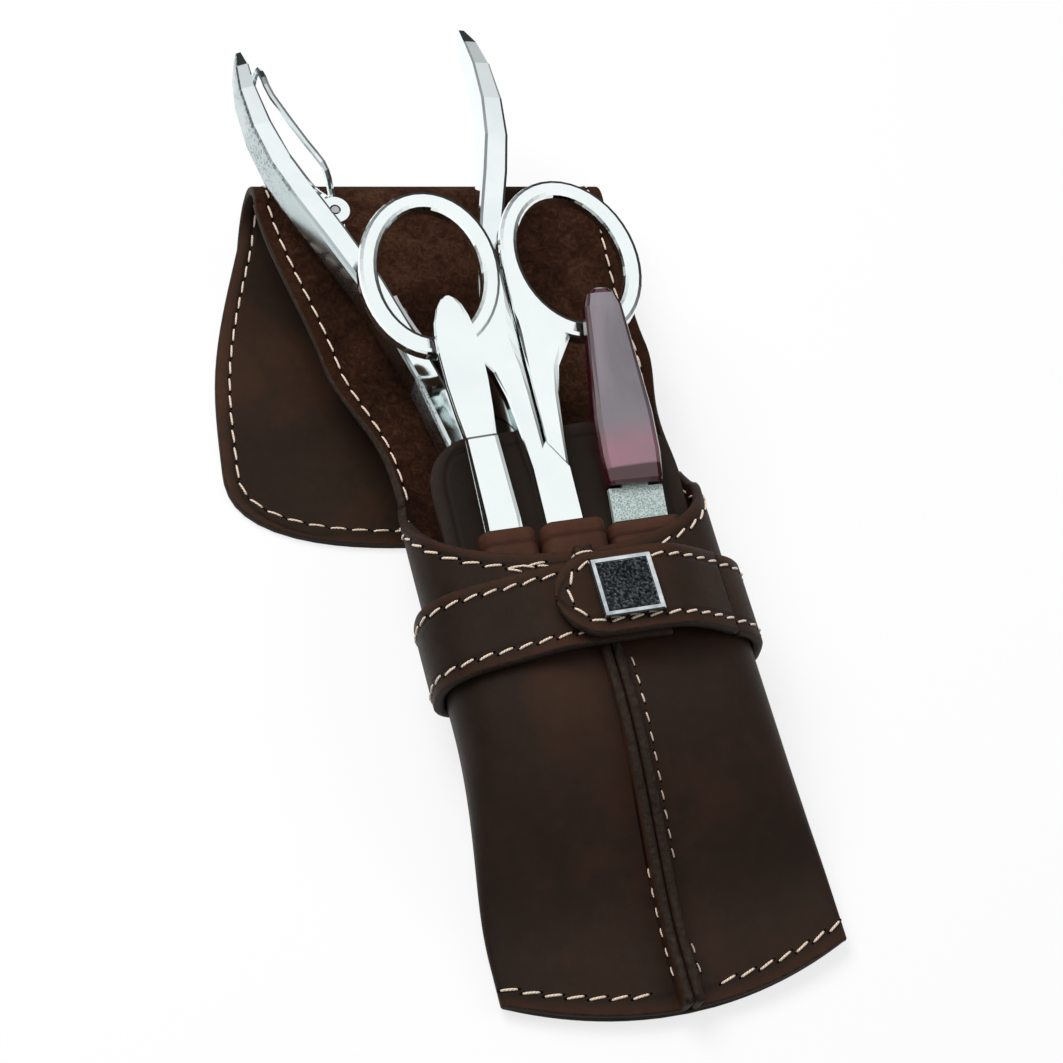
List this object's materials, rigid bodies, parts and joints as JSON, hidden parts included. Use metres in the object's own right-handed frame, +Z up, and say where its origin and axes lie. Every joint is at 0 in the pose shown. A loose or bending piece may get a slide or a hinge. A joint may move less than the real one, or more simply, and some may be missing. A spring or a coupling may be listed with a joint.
{
  "type": "manicure set case",
  "caption": "Leather manicure case lying open on its folded-back flap, with a snap strap, nippers, scissors, tweezers and a nail file in loops.",
  "frame": {"origin": "middle of the flat underside of the folded flap, on the surface the case rests on", "axes": "+Z up from the resting surface, +Y up the case towards the fold and the tool handles, +X to its right seen from the front"},
  "size_m": [0.0812, 0.1858, 0.0335],
  "materials": {
    "grain_leather": "dark brown oiled grain, suede inside",
    "divider_leather": "smooth dark grey-brown",
    "chrome": "mirror bright plating",
    "steel": "satin nickelled steel",
    "file_grit": "fine grit-cut steel",
    "burgundy_plastic": "translucent burgundy, polished"
  },
  "bodies": {
    "case": {"body_shell": "grain_leather", "divider_panel": "divider_leather", "loop_strip": "grain_leather", "strap_band": "grain_leather", "snap_stud": "steel"},
    "flap": {"flap_panel": "grain_leather"},
    "tab": {"strap_tab": "grain_leather", "snap_socket": "steel", "badge_cap": "steel"},
    "nippers": {"nipper_left_half": "chrome", "nipper_rivet": "steel", "nipper_bail_pin": "steel", "nipper_spring": "steel", "nipper_spring_screw": "steel"},
    "nipper_right": {"nipper_right_half": "chrome"},
    "bail": {"nipper_bail": "chrome"},
    "scissors": {"scissors_left_half": "chrome", "scissors_screw": "steel"},
    "scissors_right": {"scissors_right_half": "chrome"},
    "tweezers": {"tweezers_front_arm": "chrome"},
    "tweezers_back": {"tweezers_back_arm": "chrome"},
    "file": {"file_blade": "file_grit", "file_handle": "burgundy_plastic"}
  },
  "joints": [
    {"name": "flap_fold", "type": "hinge", "parent": "case", "child": "flap", "pos_m": [0.0086, 0.04255, 0.00769], "axis": [0.9936, -0.1132, 0], "range_deg": [0, 180]},
    {"name": "tab_lift", "type": "hinge", "parent": "case", "child": "tab", "pos_m": [0.0316, -0.06227, 0.02365], "axis": [-0.0004, 0.9965, 0.0839], "range_deg": [0, 100]},
    {"name": "nipper_lift", "type": "slide", "parent": "case", "child": "nippers", "axis": [-0.0531, 0.9894, 0.1353], "range_m": [0, 0.11]},
    {"name": "nipper_squeeze", "type": "hinge", "parent": "nippers", "child": "nipper_right", "pos_m": [0.00213, -0.02391, 0.01377], "axis": [0.0281, -0.1339, 0.9906], "range_deg": [0, 22], "stiffness_Nm_per_rad": 0.5, "deforming": ["nipper_spring"]},
    {"name": "bail_swing", "type": "hinge", "parent": "nippers", "child": "bail", "pos_m": [-0.01383, 0.02466, 0.02079], "axis": [0.0281, -0.1339, 0.9906], "range_deg": [-18, 0]},
    {"name": "scissors_lift", "type": "slide", "parent": "case", "child": "scissors", "axis": [0.0109, 0.9853, 0.1705], "range_m": [0, 0.11]},
    {"name": "scissors_open", "type": "hinge", "parent": "scissors", "child": "scissors_right", "pos_m": [0.00967, -0.04501, 0.02], "axis": [-0.0106, -0.1704, 0.9853], "range_deg": [-3.5, 0]},
    {"name": "tweezers_lift", "type": "slide", "parent": "case", "child": "tweezers", "axis": [-0.0331, 0.9603, 0.2771], "range_m": [0, 0.11]},
    {"name": "tweezers_squeeze", "type": "hinge", "parent": "tweezers", "child": "tweezers_back", "pos_m": [-0.00134, -0.02777, 0.02549], "axis": [0.9994, 0.0309, 0.0122], "range_deg": [-1.8, 0], "stiffness_Nm_per_rad": 0.6},
    {"name": "file_lift", "type": "slide", "parent": "case", "child": "file", "axis": [0.0367, 0.9529, 0.3012], "range_m": [0, 0.105]}
  ]
}
